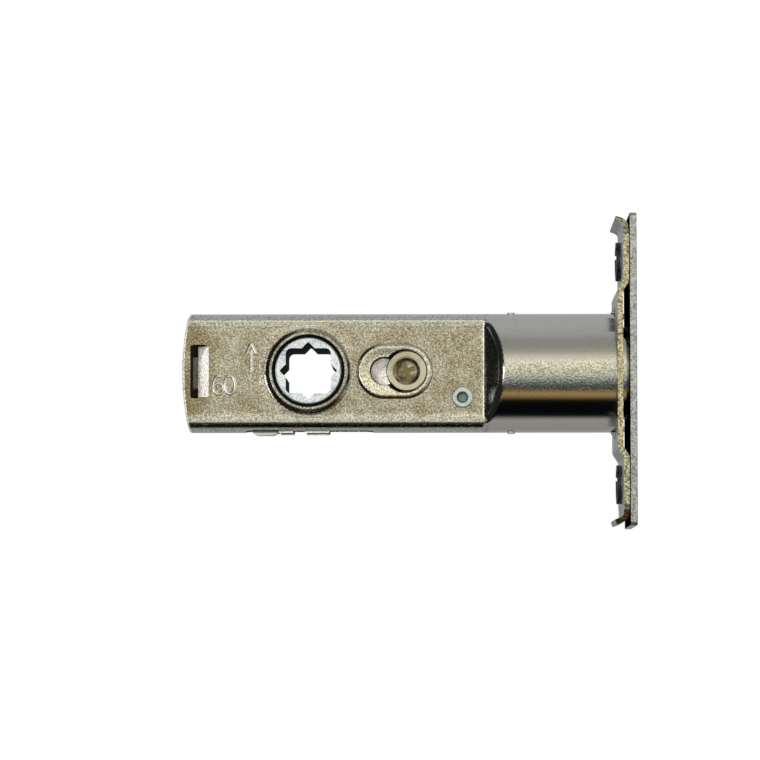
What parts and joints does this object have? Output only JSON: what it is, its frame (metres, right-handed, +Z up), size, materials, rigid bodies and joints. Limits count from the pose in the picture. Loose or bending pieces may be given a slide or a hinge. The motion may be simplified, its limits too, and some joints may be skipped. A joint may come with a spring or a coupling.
{
  "type": "tubular deadbolt door latch",
  "caption": "Tubular door latch: a star-holed hub turns a crank inside a flat-sided tube and throws a round bolt out of a screw-fixed faceplate.",
  "frame": {"origin": "middle of the faceplate's front face, on the bolt's axis", "axes": "+X out of the door's edge, the way the bolt is thrown; +Z up along the faceplate; +Y across the door's thickness, away from the side that the picture shows"},
  "size_m": [0.0833, 0.0254, 0.0572],
  "materials": {
    "nickel_plate": "warm nickel plate on pressed steel",
    "zinc_plate": "bright zinc plate",
    "zinc_cast": "die-cast zinc",
    "plain_steel": "plain hardened steel",
    "bolt_brass": "nickel-plated brass"
  },
  "bodies": {
    "case": {"case_shell": "nickel_plate", "mounting_plate": "nickel_plate", "faceplate": "nickel_plate", "inner_frame": "zinc_plate", "guide_post": "zinc_plate", "guide_collar_near": "nickel_plate", "guide_collar_far": "nickel_plate", "guide_screw": "nickel_plate", "stop_rivet": "zinc_plate", "stop_sleeve": "plain_steel", "bolt_guide_ring": "plain_steel", "detent_spring": "plain_steel", "hub_washer_near": "plain_steel", "hub_washer_far": "plain_steel"},
    "hub": {"hub": "zinc_cast", "crank_cheek_near": "zinc_plate", "crank_cheek_far": "zinc_plate"},
    "bolt": {"bolt": "bolt_brass", "tail_bar": "plain_steel", "tail_rivet": "plain_steel", "drive_pin": "plain_steel"}
  },
  "joints": [
    {"name": "hub_turn", "type": "hinge", "parent": "case", "child": "hub", "pos_m": [-0.06, 0, 0], "axis": [0, -1, 0], "range_deg": [0, 90], "deforming": ["detent_spring"]},
    {"name": "bolt_slide", "type": "slide", "parent": "case", "child": "bolt", "axis": [1, 0, 0], "range_m": [0, 0.016]}
  ],
  "couplings": [
    {"joint": "hub_turn", "follows": "bolt_slide", "rad_per_m": 98.175}
  ]
}
